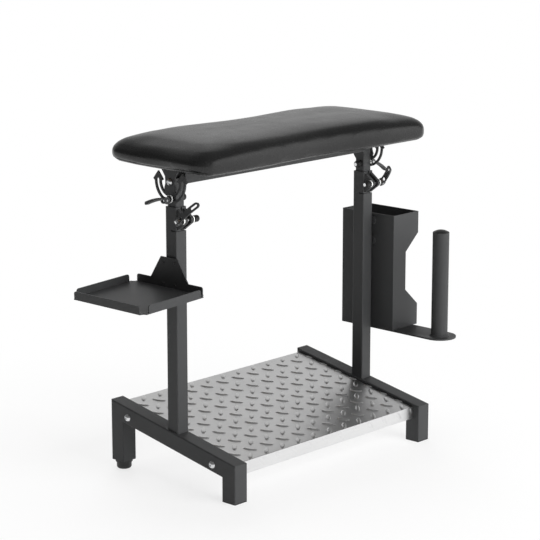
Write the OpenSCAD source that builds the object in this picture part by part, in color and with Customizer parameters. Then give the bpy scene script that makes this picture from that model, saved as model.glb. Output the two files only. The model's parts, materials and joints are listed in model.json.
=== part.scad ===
// Arm rest stand for a tattoo studio.
// Two sloped end frames and a checker plate carry two posts. Inner posts slide in them,
// and a padded rest tilts between the inner posts. Cam levers clamp the height and the tilt.
// A tray hangs on the left post, a glove box holder and a roll tube on the right one.
// +X points right along the rest, -Y to the front, +Z up. Millimetres.

/* [End frames] */
// Length of the stand over the outer faces of its end frames
frame_l = 508; // [470:1:580]
// Depth of the stand over its legs
frame_d = 298; // [270:1:360]
// Height of the crossbar at the front
front_h = 67; // [60:1:85]
// Height of the crossbar at the rear
rear_h = 124; // [105:1:140]
// Side of the square tube of the end frames
tube_w = 30; // [28:0.5:32]
// Wall of the end frames' tube
tube_t = 2; // [1.5:0.1:2.2]
// Outer corner radius of all the square tube
tube_r = 2.2; // [1.8:0.1:2.6]
// Height of the glide under a rear leg
glide_h = 16; // [8:1:25]
// Diameter of the glide under a rear leg
glide_d = 26; // [20:1:28]
// Thickness of the cap under a front leg
cap_t = 2; // [1:0.5:4]

/* [Checker plate] */
// Thickness of the plate
plate_t = 2; // [1.5:0.5:3]
// How far the plate lies below the tops of the crossbars
plate_drop = 5.4; // [2:0.1:7]
// Height of the plate's folded edges
plate_lip = 22.1; // [21:0.1:25]
// Distance from the front of the legs to the front lip
plate_front = 14.5; // [4:0.1:28]
// Distance from the rear of the legs to the rear lip
plate_rear = 6; // [2:0.1:28]
// Length of a raised bar of the tread
tread_l = 24; // [20:0.5:27]
// Width of a raised bar of the tread
tread_w = 8.4; // [6:0.2:10]
// Height of a raised bar of the tread
tread_h = 1.1; // [0.6:0.1:1.5]
// Distance between neighbouring bars of one direction across the plate
tread_pitch_x = 39.7; // [38:0.1:42]
// Distance between neighbouring bars of one direction along the slope
tread_pitch_y = 37.4; // [36:0.1:40]
// Distance from the front of the legs to the front bolt
bolt_front = 53; // [45:1:80]
// Distance from the rear of the legs to the rear bolt
bolt_rear = 41; // [38:1:80]
// Distance from the top of a crossbar straight down to a bolt
bolt_drop = 17.8; // [16:0.2:19]
// Thread diameter of a plate bolt
bolt_d = 8; // [6:1:8]
// Head diameter of a plate bolt
bolt_head = 13.5; // [12:0.5:15]

/* [Posts] */
// Side of the square outer post
post_w = 25; // [24:0.25:27]
// Wall of the outer post
post_t = 2; // [1.5:0.1:2.2]
// Distance from the outer face of an end frame to its post
post_inset = 4; // [2.5:0.5:5]
// Height of the outer posts
post_top = 481; // [470:0.5:520]
// Depth of the collar that the slits free at the top of a post
collar_h = 40.8; // [36:0.2:46]
// Width of the saw slits in a collar
slit_w = 2; // [1:0.1:3]
// Gap between the ears of a collar
ear_gap = 8; // [7:0.5:9]
// Thickness of an ear
ear_t = 5.8; // [4:0.2:6]
// Height of an ear at its root
ear_h = 33.6; // [28:0.2:35]
// Radius of an ear round its bolt
ear_r = 6.5; // [6:0.25:7.5]
// Distance from the front of a post to its clamp bolt
ear_reach = 13.6; // [12:0.2:17]
// Distance from the top of a post down to its clamp bolt
ear_drop = 20.2; // [18:0.2:22]
// Side of the square inner tube
inner_w = 20; // [19:0.25:20.75]
// Wall of the square inner tube
inner_t = 1.5; // [1:0.1:2]
// Length of an inner post
inner_l = 381; // [350:1:385]
// How far an inner post stands out of its outer post at the lowest height
inner_show = 48; // [48:0.5:66]

/* [Tilting head] */
// Distance from the top of an inner post down to the pivot
pivot_drop = 5.8; // [5:0.2:8]
// Distance from the pivot down to the lock bolt
lock_drop = 28.6; // [28:0.2:30]
// Distance from the pivot up to the underside of the rest
pad_rise = 22.8; // [21:0.1:28]
// Thread diameter of the head bolts and the clamp bolts
head_bolt_d = 6; // [5:0.5:6]
// Thickness of a sector plate
sector_t = 3; // [2:0.5:4]
// Width of each rail beside the arc slot
sector_rail = 3.9; // [3.5:0.1:4.2]
// Angle from the middle of the arc slot to each end
slot_half_a = 92; // [60:1:95]
// Length of a fluke at the end of an arc, from its barbs to its tip
fluke_h = 14; // [10:0.5:15]
// Width of a fluke across its barbs
fluke_w = 23; // [20:0.5:25]
// Width of the sector's shank at the pivot
shank_w = 23; // [20:0.5:26]
// Width of the sector's shank under the rest
shank_top_w = 44; // [36:1:48]

/* [Cam levers] */
// Length of a height lever from its pin to its tip
height_lever_l = 49; // [42:1:56]
// Length of a tilt lever from its pin to its tip
tilt_lever_l = 45; // [40:1:50]
// Width of a lever
lever_w = 10.4; // [10:0.2:12]
// Thickness of a lever
lever_t = 3; // [2:0.25:4]
// Radius of a cam
cam_r = 6; // [5.5:0.25:7]
// Throw of a cam
cam_throw = 1; // [0.5:0.1:1.5]
// Diameter of a lever pin
pin_d = 4; // [3:0.25:4.5]
// Length of the slot near a lever's tip
lever_slot_l = 13; // [10:0.5:16]
// Width of the slot near a lever's tip
lever_slot_w = 4.4; // [3:0.1:5.5]
// Lean of a height lever over its collar
height_lever_a = 19.6; // [0:0.1:25]
// Angle of the left tilt lever from hanging
left_tilt_a = 90; // [0:1:90]
// Angle of the right tilt lever from hanging
right_tilt_a = 63; // [0:1:90]

/* [Rest] */
// How far the padded rest reaches past the frame at each end
pad_over = 41.5; // [28:0.5:60]
// Width of the rest over its lobes
pad_w = 234.4; // [226:0.2:260]
// Width of the rest at its waist
waist_w = 209.2; // [180:0.2:225]
// How far the middle of an end is drawn in
end_dip = 6.5; // [0:0.5:16]
// Thickness of the rest at its edges
pad_t = 47; // [44:0.1:56]
// Rise of the crown over the edges
pad_crown = 3.6; // [0:0.2:8]
// Corner radius of the rest in plan
pad_corner_r = 34.5; // [26:0.5:46]
// Width of the round along the top edge
top_round_w = 24.4; // [20:0.2:32]
// Height of the round along the top edge
top_round_h = 21.8; // [18:0.2:28]
// Radius along the bottom edge
bottom_round = 9; // [6:0.5:12]
// How far the corners of the top drop
corner_drop = 5.8; // [0:0.2:9]
// How far the ends of the top slope down
end_drop = 11.2; // [0:0.2:13]
// How far the underside rises at the ends
end_rise = 2.4; // [0:0.2:6]
// Thickness of the board in the rest
board_t = 12; // [9:0.5:15]
// Distance from the edge of the rest to the board
board_inset = 15; // [14:0.5:24]
// Width of the rail under the rest
rail_w = 23; // [20:0.5:28]
// Distance from the pivot down to the underside of the rail
rail_drop = 5; // [5:0.1:7]

/* [Mount strips] */
// Width of the flat strips welded across a post
strip_w = 37.4; // [34:0.2:38]
// Height of a strip
strip_h = 13.5; // [11:0.5:14]
// Thickness of a strip
strip_t = 3; // [2:0.5:4]
// Height of the lower strip above the floor
strip_z = 352; // [351:0.5:353]
// Distance between the two strips
strip_pitch = 36.5; // [36:0.25:37]
// Distance from the middle of a strip to each screw
strip_screw = 13.5; // [12:0.5:14]
// Diameter of the screws in the strips
strip_screw_d = 3; // [2:0.5:4]

/* [Tray] */
// How far the tray reaches out from the left post
tray_reach = 143; // [120:1:160]
// Width of the tray
tray_w = 172.5; // [150:0.5:190]
// Height of the tray's back edge above the floor
tray_z = 343.7; // [340:0.1:345]
// Height of the tray's lips
tray_lip = 14.5; // [10:0.5:18]
// Thickness of the tray's sheet
tray_t = 2; // [1:0.1:2.5]
// How far the tray droops outwards
tray_droop_a = 2.8; // [0:0.1:4]
// Distance from a corner of the tray to its front and rear lips
tray_gap_x = 13; // [8:0.5:20]
// Distance from a corner of the tray to its outer and back lips
tray_gap_y = 8.8; // [6:0.2:14]
// Radius of the lips' upper corners
tray_lip_r = 4; // [2:0.5:6]
// Height of the tray's bracket over the back edge
bracket_h = 52.7; // [50:0.1:60]
// Width of the bracket at its top
bracket_w = 39.2; // [36:0.2:56]
// Width of the bracket at its foot
bracket_foot_w = 88.6; // [76:0.2:110]

/* [Glove box holder] */
// Depth of the holder
holder_d = 70.5; // [64:0.5:84]
// Width of the holder
holder_w = 122.4; // [112:0.2:140]
// Height of the holder
holder_h = 213; // [206:0.5:230]
// Height of the holder's bottom above the floor
holder_z = 189; // [180:0.5:200]
// Thickness of the holder's sheet
holder_t = 1.5; // [1:0.1:2]
// Depth of the window in the holder's sides
window_d = 34.9; // [28:0.1:42]
// Height of the window at the holder's front
window_h = 134.2; // [120:0.2:150]
// Height of the window at its deepest
window_in_h = 70.9; // [56:0.1:84]
// Height of the solid band below the window
window_z = 39.2; // [34:0.2:48]

/* [Roll tube] */
// Diameter of the roll tube
roll_d = 30; // [24:1:36]
// Wall of the roll tube
roll_t = 1.5; // [1:0.1:2]
// Length of the roll tube
roll_l = 191; // [140:1:215]
// Distance from the middle of the posts forward to the roll tube
roll_y = 146.4; // [125:0.2:170]
// Width of the plate under the roll tube
roll_plate_w = 60.6; // [46:0.2:64]
// Thickness of the plate under the roll tube
roll_plate_t = 2.8; // [2:0.2:4]
// Height of the dome on the roll cap
roll_dome_h = 4.7; // [3:0.1:7]

/* [Hidden] */

// Finishes
black_coat = "#2f3032";
black_plastic = "#1d1e20";
black_leather = "#232426";
plate_metal = "#b4b6b8";
chrome = "#d9dbdd";
white_nylon = "#eceeee";
plywood = "#c9a878";

// Roundness of curves, and of small holes
fine = 64;
medium = 40;

// Overrun of every cut, and the clearances that all fits share
over = 1;
run_fit = 0.05;
side_fit = 0.3;
hole_fit = 0.2;

// Places that follow from the sizes
frame_x = (frame_l - tube_w) / 2;
post_face = frame_l / 2 - post_inset;
post_x = post_face - post_w / 2;
pad_l = frame_l + 2 * pad_over;
mount_face = post_face + strip_t;
tube_in = tube_w - 2 * tube_t;
post_in = post_w - 2 * post_t;
slope = (rear_h - front_h) / frame_d;
slope_a = atan(slope);
bar_v = tube_w / cos(slope_a);
front_y = -frame_d / 2;
rear_y = frame_d / 2;
inner_top = post_top + inner_show;
inner_z = inner_top - inner_l;
pivot_z = inner_top - pivot_drop;
lock_z = pivot_z - lock_drop;
pad_z = pivot_z + pad_rise;
clamp_y = -post_w / 2 - ear_reach;
clamp_z = post_top - ear_drop;
slit_z = post_top - collar_h;
roll_x = mount_face + roll_plate_w / 2;
tray_out = tray_reach * cos(tray_droop_a) + tray_lip * sin(tray_droop_a);
centre_x = (holder_d - tray_out) / 2;
centre_y = (rear_y - roll_y - roll_plate_w / 2) / 2;

// Sizes of the clamp stacks, counted outwards from the middle of a post
ear_out = ear_gap / 2 + ear_t;
clamp_washer_t = 2.3;
clamp_washer_d = 12.2;
clamp_saddle_t = 2.8;
saddle_d = 11.4;
clamp_nut_l = 12;
clamp_nut_d = 11.7;
bolt_show = 2;
clamp_pin_x = ear_out + clamp_washer_t + clamp_saddle_t + side_fit + cam_r + cam_throw;
sector_in = inner_w / 2 + side_fit;
sector_out = sector_in + sector_t;
lock_washer_t = 1.5;
lock_washer_d = 14;
lock_saddle_t = 1.5;
lock_nut_l = 9.4;
lock_nut_d = 12.2;
lock_pin_x = sector_out + side_fit + lock_washer_t + lock_saddle_t + side_fit + cam_r + cam_throw;
pivot_washer_t = 1.2;
pivot_washer_d = 12.2;
pivot_head_h = 4.2;
pivot_head_d = 12;
rail_end = post_x - inner_w / 2 - pivot_washer_t - side_fit;
rail_block = 7;
rail_t = 2;

// Lever details
fork_w = 6;
fork_l = 12;
eye_w = fork_w - 2 * side_fit;
eye_r = 4.4;
lever_bow_r = 110;
lever_top = 3;
lever_tip_rim = 3.2;

// Fasteners that hold sheets and the rest
small_d = 5;
small_head_d = 9;
small_head_h = 2.6;
screw_head_d = 5;
screw_head_h = 1.6;
flange_l = 17;
flange_w = 32;
pad_screw_in = 9;
rail_screw_share = 0.8;
access_d = 13;

// Height of the top of a crossbar at a place along its length
function bar_top(y) = front_h + slope * (y - front_y);

// Cross-section of a square tube of side w
module square_outline(w)
    union() {
        square([w, w - 2 * tube_r], center = true);
        square([w - 2 * tube_r, w], center = true);
        for (x = [-1, 1], y = [-1, 1])
            translate([x * (w / 2 - tube_r), y * (w / 2 - tube_r)])
                circle(r = tube_r, $fn = medium);
    }

// Moves everything to the middle of the floor under the stand
module stand()
    translate([-centre_x, -centre_y, 0])
        children();

// Extrudes an outline drawn in Y and Z along X, centred on x
module along_x(x, w)
    translate([x - w / 2, 0, 0])
        rotate([90, 0, 90])
            linear_extrude(w)
                children();

// Mirrors a part of the right side to the left where side is -1
module mirrored(side)
    if (side > 0) children();
    else mirror([1, 0, 0]) children();

// A part drawn about the middle of the right post, or its mirror image at the left post
module on_post(side)
    mirrored(side)
        translate([post_x, 0, 0])
            children();

// A part drawn about the middle of the right end frame, or its mirror image
module on_frame(side)
    mirrored(side)
        translate([frame_x, 0, 0])
            children();

// A rod, disc or bore along X from x0 to x1
module rod_x(x0, x1, d)
    translate([x0, 0, 0])
        rotate([0, 90, 0])
            cylinder(h = x1 - x0, d = d, $fn = fine);

module ring_x(x0, x1, d, bore_d)
    difference() {
        rod_x(x0, x1, d);
        rod_x(x0 - over, x1 + over, bore_d);
    }

// A low domed head with a hexagon socket, standing on z = 0
module button_head(d, h) {
    ball_r = (d * d / 4 + h * h) / (2 * h);
    socket_d = d * 0.42;
    difference() {
        intersection() {
            cylinder(h = h, d = d, $fn = fine);
            translate([0, 0, h - ball_r])
                sphere(r = ball_r, $fn = fine);
        }
        translate([0, 0, h / 2])
            cylinder(h = h, d = socket_d, $fn = 6);
    }
}

// End frames

// Outer and inner corner of the mitre at the end of a crossbar (end is front_y or rear_y)
function mitre_out(end) = [end, bar_top(end)];

function mitre_in(end) =
    let (y = end - sign(end) * tube_w)
    [y, bar_top(y) - bar_v];

// Everything between the two mitres
module between_mitres()
    polygon([
        2 * mitre_out(front_y) - mitre_in(front_y),
        2 * mitre_out(rear_y) - mitre_in(rear_y),
        2 * mitre_in(rear_y) - mitre_out(rear_y),
        2 * mitre_in(front_y) - mitre_out(front_y)
    ]);

// Everything below one mitre, down to the foot
module below_mitre(end, foot) {
    high = 2 * mitre_out(end) - mitre_in(end);
    low = 2 * mitre_in(end) - mitre_out(end);
    polygon([high, low, [low[0], foot], [high[0], foot]]);
}

// Follows the slope of a crossbar along its middle line
module along_bar()
    translate([0, 0, bar_top(0) - bar_v / 2])
        rotate([slope_a - 90, 0, 0])
            translate([0, 0, -frame_d])
                linear_extrude(2 * frame_d)
                    children();

// Places of the plate bolts along a crossbar
bolt_places = [front_y + bolt_front, rear_y - bolt_rear];

module crossbar(side)
    stand() color(black_coat) on_frame(side)
        difference() {
            intersection() {
                along_bar() square_outline(tube_w);
                along_x(0, 2 * tube_w) between_mitres();
            }
            along_bar() square(tube_in, center = true);
            for (y = bolt_places)
                translate([0, y, bar_top(y) - bolt_drop])
                    rod_x(-tube_w, tube_w, bolt_d + 2 * hole_fit);
        }

module leg(side, end, foot)
    stand() color(black_coat) on_frame(side)
        difference() {
            intersection() {
                translate([0, end - sign(end) * tube_w / 2, foot])
                    linear_extrude(rear_h + tube_w)
                        square_outline(tube_w);
                along_x(0, 2 * tube_w) below_mitre(end, foot);
            }
            translate([0, end - sign(end) * tube_w / 2, 0])
                linear_extrude(rear_h + 2 * tube_w)
                    square(tube_in, center = true);
        }

plug_h = 12;
plug_w = tube_in - 2 * hole_fit;

module front_leg_caps()
    stand() color(black_plastic)
        for (side = [-1, 1])
            translate([side * frame_x, front_y + tube_w / 2, 0]) {
                linear_extrude(cap_t)
                    square_outline(tube_w);
                translate([-plug_w / 2, -plug_w / 2, 0])
                    cube([plug_w, plug_w, cap_t + plug_h]);
            }

module glide() {
    round_r = glide_d * 0.16;
    foot_r = glide_d / 2 - round_r;
    collar_t = glide_h * 0.22;
    rotate_extrude($fn = fine)
        union() {
            square([foot_r, glide_h]);
            translate([0, round_r])
                square([glide_d / 2, glide_h - round_r]);
            translate([foot_r, round_r])
                circle(r = round_r, $fn = medium);
            translate([0, glide_h - collar_t])
                square([tube_w / 2, collar_t]);
        }
    translate([-plug_w / 2, -plug_w / 2, glide_h - over])
        cube([plug_w, plug_w, plug_h]);
}

module rear_leg_glides()
    stand() color(black_plastic)
        for (side = [-1, 1])
            translate([side * frame_x, rear_y - tube_w / 2, 0])
                glide();

// Posts with their slit collars

module ear_outline() {
    root_y = -post_w / 2 + post_t / 2;
    union() {
        translate([clamp_y, clamp_z])
            circle(r = ear_r, $fn = medium);
        polygon([
            [root_y, clamp_z + ear_h / 2],
            [-post_w / 2 - post_t, clamp_z + ear_h / 2],
            [clamp_y - ear_r * 0.6, clamp_z + ear_r * 0.8],
            [clamp_y - ear_r * 0.6, clamp_z - ear_r * 0.8],
            [-post_w / 2 - post_t, clamp_z - ear_h / 2],
            [root_y, clamp_z - ear_h / 2]
        ]);
    }
}

// Everything above a crossbar, as wide as the post and more
module above_bar()
    polygon([
        [-post_w, bar_top(-post_w)],
        [post_w, bar_top(post_w)],
        [post_w, post_top],
        [-post_w, post_top]
    ]);

module outer_post(side)
    stand() color(black_coat) on_post(side)
        difference() {
            union() {
                intersection() {
                    linear_extrude(post_top) square_outline(post_w);
                    along_x(0, 2 * post_w) above_bar();
                }
                for (x = [-1, 1])
                    along_x(x * (ear_gap + ear_t) / 2, ear_t)
                        ear_outline();
            }
            translate([-post_in / 2, -post_in / 2, 0])
                cube([post_in, post_in, post_top + over]);
            translate([-slit_w, -post_w, slit_z])
                cube([2 * slit_w, post_w, collar_h + over]);
            translate([-post_w, -post_w, slit_z])
                cube([2 * post_w, post_w, slit_w]);
            translate([0, clamp_y, clamp_z])
                rod_x(-post_w, post_w, head_bolt_d + 2 * run_fit);
        }

// Bolt with a crosswise lever pin at its end, lying along X from x_nut to x_pin.
// turn is the angle of the pin about the bolt.
module cam_bolt(x_nut, x_pin, turn) {
    rod_x(x_nut, x_pin, head_bolt_d);
    translate([x_pin, 0, 0])
        rotate([turn, 0, 0]) {
            rotate([90, 0, 0])
                cylinder(h = eye_w, r = eye_r, center = true, $fn = medium);
            rotate([90, 0, 0])
                cylinder(h = lever_w, d = pin_d, center = true, $fn = medium);
        }
}

module round_nut(x0, l, d) {
    grip = l * 0.14;
    difference() {
        union() {
            rod_x(x0, x0 + grip, d * 0.88);
            rod_x(x0 + grip, x0 + l - grip, d);
            rod_x(x0 + l - grip, x0 + l, d * 0.88);
        }
        rod_x(x0 - over, x0 + l + over, head_bolt_d + 2 * run_fit);
    }
}

clamp_pin_turn = 45;

module clamp_bolt(side)
    stand() color(chrome) on_post(side)
        translate([0, clamp_y, clamp_z])
            cam_bolt(-ear_out - clamp_washer_t - clamp_nut_l - bolt_show, clamp_pin_x, clamp_pin_turn);

module clamp_nut(side)
    stand() color(black_plastic) on_post(side)
        translate([0, clamp_y, clamp_z])
            round_nut(-ear_out - clamp_washer_t - clamp_nut_l, clamp_nut_l, clamp_nut_d);

module clamp_washers()
    stand() color(white_nylon)
        for (side = [-1, 1])
            on_post(side)
                translate([0, clamp_y, clamp_z])
                    for (x = [-ear_out - clamp_washer_t, ear_out])
                        ring_x(x, x + clamp_washer_t, clamp_washer_d, head_bolt_d + 2 * run_fit);

module clamp_saddles()
    stand() color(black_plastic)
        for (side = [-1, 1])
            on_post(side)
                translate([ear_out + clamp_washer_t, clamp_y, clamp_z])
                    ring_x(0, clamp_saddle_t, saddle_d, head_bolt_d + 2 * run_fit);

// Checker plate and its bolts

plate_x = frame_x - tube_w / 2 - hole_fit;
plate_y0 = front_y + plate_front;
plate_y1 = rear_y - plate_rear;
plate_v = plate_t / cos(slope_a);

function plate_top(y) = bar_top(y) - plate_drop;

// The folded plate from the side, down to depth below its top
module plate_side(y0, y1, top, depth)
    polygon([
        [y0, plate_top(y0) - top],
        [y1, plate_top(y1) - top],
        [y1, plate_top(y1) - depth],
        [y0, plate_top(y0) - depth]
    ]);

// Where the tread's two kinds of bar start, counted from the middle of the plate
tread_first = [-14, 3.7];
tread_second = [6.5, -15];
tread_n = 8;
tread_edge = 2;

// One bar seen from above, pointed at both ends
module tread_bar(a) {
    arc_r = (tread_l * tread_l + tread_w * tread_w) / (4 * tread_w);
    rotate(a)
        intersection() {
            translate([0, arc_r - tread_w / 2]) circle(r = arc_r, $fn = 2 * fine);
            translate([0, tread_w / 2 - arc_r]) circle(r = arc_r, $fn = 2 * fine);
        }
}

// All bars of one direction whose middle lies at least a bar's reach inside the plate's edges
module tread_rows(start, a)
    for (i = [-tread_n:tread_n], j = [-tread_n:tread_n])
        let (
            x = start[0] + i * tread_pitch_x,
            y = start[1] + j * tread_pitch_y,
            reach = tread_l / 2 * sin(45) + tread_edge
        )
        if (abs(x) < plate_x - reach
            && y * cos(slope_a) > plate_y0 + reach
            && y * cos(slope_a) < plate_y1 - reach)
            translate([x, y]) tread_bar(a);

module tread()
    translate([0, 0, plate_top(0)])
        rotate([slope_a, 0, 0])
            translate([0, 0, -plate_t / 2])
                linear_extrude(plate_t / 2 + tread_h) {
                    tread_rows(tread_first, -45);
                    tread_rows(tread_second, 45);
                }

module checker_plate()
    stand() color(plate_metal) {
        tread();
        folded_plate();
    }

module folded_plate()
    difference() {
        along_x(0, 2 * plate_x)
            plate_side(plate_y0, plate_y1, 0, plate_lip);
        along_x(0, 2 * (plate_x - plate_t))
            plate_side(plate_y0 + plate_t, plate_y1 - plate_t, plate_v, plate_lip + over);
        for (y = bolt_places)
            translate([0, y, bar_top(y) - bolt_drop])
                rod_x(-frame_l / 2, frame_l / 2, bolt_d + 2 * hole_fit);
    }

nut_w = bolt_d * 1.6;
nut_h = bolt_d * 0.8;
bolt_in = tube_w + hole_fit + plate_t + nut_h + bolt_show;
bolt_head_h = bolt_head * 0.32;

module plate_bolts()
    stand() color(chrome)
        for (side = [-1, 1], y = bolt_places)
            on_frame(side)
                translate([tube_w / 2, y, bar_top(y) - bolt_drop]) {
                    rotate([0, 90, 0])
                        button_head(bolt_head, bolt_head_h);
                    rod_x(-bolt_in, over, bolt_d);
                }

module plate_nuts()
    stand() color(chrome)
        for (side = [-1, 1], y = bolt_places)
            on_frame(side)
                translate([-tube_w / 2 - hole_fit - plate_t - nut_h, y, bar_top(y) - bolt_drop])
                    rotate([0, 90, 0])
                        difference() {
                            cylinder(h = nut_h, d = nut_w, $fn = 6);
                            translate([0, 0, -over])
                                cylinder(h = nut_h + 2 * over, d = bolt_d + 2 * run_fit, $fn = medium);
                        }

// Strips welded across the posts, which carry the tray and the holder

strip_places = [strip_z, strip_z + strip_pitch];

module strip_outline() {
    cut = strip_h / 4;
    polygon([
        [-strip_w / 2, -strip_h / 2 + cut],
        [-strip_w / 2 + cut, -strip_h / 2],
        [strip_w / 2 - cut, -strip_h / 2],
        [strip_w / 2, -strip_h / 2 + cut],
        [strip_w / 2, strip_h / 2 - cut],
        [strip_w / 2 - cut, strip_h / 2],
        [-strip_w / 2 + cut, strip_h / 2],
        [-strip_w / 2, strip_h / 2 - cut]
    ]);
}

module mount_strips(side)
    stand() color(black_coat) mirrored(side)
        for (z = strip_places)
            translate([post_face + strip_t / 2, 0, z])
                difference() {
                    along_x(0, strip_t) strip_outline();
                    for (y = [-strip_screw, strip_screw])
                        translate([0, y, 0])
                            rod_x(-strip_t, strip_t, strip_screw_d + 2 * run_fit);
                }

// Holes or screws at all four places on a post's two strips
module at_strip_screws()
    for (z = strip_places, y = [-strip_screw, strip_screw])
        translate([mount_face, y, z])
            children();

module sheet_screw(t) {
    translate([t, 0, 0])
        rotate([0, 90, 0])
            button_head(screw_head_d, screw_head_h);
    rod_x(-strip_t, t + screw_head_h / 4, strip_screw_d);
}

// Tray

// A strip of length l and height h whose upper corners are round
module lip_outline(l, h, r)
    union() {
        translate([-l / 2, 0])
            square([l, h - r]);
        translate([-l / 2 + r, 0])
            square([l - 2 * r, h]);
        for (x = [-1, 1])
            translate([x * (l / 2 - r), h - r])
                circle(r = r, $fn = medium);
    }

corner_cut_r = tray_gap_y - tray_t / 2;

module tray_back()
    union() {
        translate([0, -tray_t / 2])
            lip_outline(tray_w - 2 * tray_gap_y, tray_lip + tray_t / 2, tray_lip_r);
        polygon([
            [-bracket_foot_w / 2, tray_lip - tray_lip_r / 2],
            [bracket_foot_w / 2, tray_lip - tray_lip_r / 2],
            [bracket_foot_w / 2, tray_lip],
            [bracket_w / 2, bracket_h],
            [-bracket_w / 2, bracket_h],
            [-bracket_foot_w / 2, tray_lip]
        ]);
    }

// Floor and three lips, before the tray droops
module tray_pan() {
    translate([0, -tray_w / 2, 0])
        cube([tray_reach, tray_w, tray_t]);
    along_x(tray_reach - tray_t / 2, tray_t)
        lip_outline(tray_w - 2 * tray_gap_y, tray_lip, tray_lip_r);
    for (y = [-tray_w / 2 + tray_t, tray_w / 2])
        translate([tray_reach / 2, y, 0])
            rotate([90, 0, 0])
                linear_extrude(tray_t)
                    lip_outline(tray_reach - 2 * tray_gap_x, tray_lip, tray_lip_r);
}

module tray()
    stand() color(black_coat) mirrored(-1)
        difference() {
            translate([mount_face, 0, tray_z]) {
                along_x(tray_t / 2, tray_t) tray_back();
                difference() {
                    rotate([0, tray_droop_a, 0])
                        difference() {
                            tray_pan();
                            for (x = [0, tray_reach], y = [-tray_w / 2, tray_w / 2])
                                translate([x, y, -over])
                                    cylinder(h = tray_t + 2 * over, r = corner_cut_r, $fn = medium);
                        }
                    translate([-tray_reach, -tray_w, -tray_reach])
                        cube([tray_reach, 2 * tray_w, 2 * tray_reach]);
                }
            }
            at_strip_screws()
                rod_x(-over, tray_t + over, strip_screw_d + 2 * hole_fit);
        }

module tray_screws()
    stand() color(black_plastic) mirrored(-1)
        at_strip_screws()
            sheet_screw(tray_t);

// Glove box holder and the roll tube under it

module window_outline()
    polygon([
        [holder_d, window_z],
        [holder_d + over, window_z],
        [holder_d + over, window_z + window_h],
        [holder_d, window_z + window_h],
        [holder_d - window_d, window_z + (window_h + window_in_h) / 2],
        [holder_d - window_d, window_z + (window_h - window_in_h) / 2]
    ]);

module glove_box_holder()
    stand() color(black_coat)
        difference() {
            translate([mount_face, 0, holder_z])
                difference() {
                    translate([0, -holder_w / 2, 0])
                        cube([holder_d, holder_w, holder_h]);
                    translate([holder_t, -holder_w / 2 + holder_t, holder_t])
                        cube([holder_d - 2 * holder_t, holder_w - 2 * holder_t, holder_h]);
                    translate([0, holder_w, 0])
                        rotate([90, 0, 0])
                            linear_extrude(2 * holder_w)
                                window_outline();
                }
            at_strip_screws()
                rod_x(-over, holder_t + over, strip_screw_d + 2 * hole_fit);
        }

module holder_screws()
    stand() color(black_plastic)
        at_strip_screws()
            sheet_screw(holder_t);

module roll_plate()
    stand() color(black_coat)
        translate([0, 0, holder_z - roll_plate_t])
            linear_extrude(roll_plate_t)
                union() {
                    translate([roll_x, -roll_y])
                        circle(d = roll_plate_w, $fn = fine);
                    translate([roll_x - roll_plate_w / 2, -roll_y])
                        square([roll_plate_w, roll_y + holder_w / 2]);
                }

weld_r = 3;

module roll_tube()
    stand() color(black_coat)
        translate([roll_x, -roll_y, holder_z])
            rotate_extrude($fn = fine)
                polygon([
                    [roll_d / 2 - roll_t, 0],
                    [roll_d / 2 + weld_r, 0],
                    [roll_d / 2, weld_r],
                    [roll_d / 2, roll_l],
                    [roll_d / 2 - roll_t, roll_l]
                ]);

module roll_cap() {
    plug_r = roll_d / 2 - roll_t - run_fit;
    dome_r = (roll_d * roll_d / 4 + roll_dome_h * roll_dome_h) / (2 * roll_dome_h);
    stand() color(black_plastic)
        translate([roll_x, -roll_y, holder_z + roll_l]) {
            translate([0, 0, -plug_h])
                cylinder(h = plug_h + roll_dome_h / 4, r = plug_r, $fn = fine);
            intersection() {
                cylinder(h = roll_dome_h, d = roll_d, $fn = fine);
                translate([0, 0, roll_dome_h - dome_r])
                    sphere(r = dome_r, $fn = fine);
            }
        }
}

// Sliding inner posts and the lock bolts they carry

module inner_post(side)
    stand() color(black_coat) on_post(side)
        difference() {
            translate([0, 0, inner_z])
                linear_extrude(inner_l)
                    square_outline(inner_w);
            translate([-inner_w / 2 + inner_t, -inner_w / 2 + inner_t, inner_z - over])
                cube([inner_w - 2 * inner_t, inner_w - 2 * inner_t, inner_l + 2 * over]);
            for (z = [pivot_z, lock_z])
                translate([0, 0, z])
                    rod_x(-inner_w, inner_w, head_bolt_d + 2 * run_fit);
        }

module lock_bolt(side)
    stand() color(chrome) on_post(side)
        translate([0, 0, lock_z])
            cam_bolt(-inner_w / 2 - lock_nut_l - bolt_show, lock_pin_x, 0);

module lock_nut(side)
    stand() color(black_plastic) on_post(side)
        translate([0, 0, lock_z])
            round_nut(-inner_w / 2 - lock_nut_l, lock_nut_l, lock_nut_d);

module lock_washers()
    stand() color(white_nylon)
        for (side = [-1, 1])
            on_post(side)
                translate([sector_out + side_fit, 0, lock_z])
                    ring_x(0, lock_washer_t, lock_washer_d, head_bolt_d + 2 * run_fit);

module lock_saddles()
    stand() color(black_plastic)
        for (side = [-1, 1])
            on_post(side)
                translate([sector_out + side_fit + lock_washer_t, 0, lock_z])
                    ring_x(0, lock_saddle_t, saddle_d, head_bolt_d + 2 * run_fit);

// Sector plates: a shank with two arms that end in flukes, and one long arc slot

slot_w = head_bolt_d + 2 * side_fit;
sector_r = lock_drop + slot_w / 2 + sector_rail;
arm_in = lock_drop - slot_w / 2 - sector_rail;
fluke_z = 2;
far = 2 * sector_r;

// Everything within angle a of straight down
module below(a)
    polygon([
        [0, 0],
        [-far * sin(a), -far * cos(a)],
        [-far, -far],
        [far, -far],
        [far * sin(a), -far * cos(a)]
    ]);

module arc_slot()
    union() {
        intersection() {
            difference() {
                circle(r = lock_drop + slot_w / 2, $fn = fine);
                circle(r = lock_drop - slot_w / 2, $fn = fine);
            }
            below(slot_half_a);
        }
        for (a = [-slot_half_a, slot_half_a])
            rotate(a - 90)
                translate([lock_drop, 0])
                    circle(d = slot_w - side_fit, $fn = medium);
    }

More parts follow.
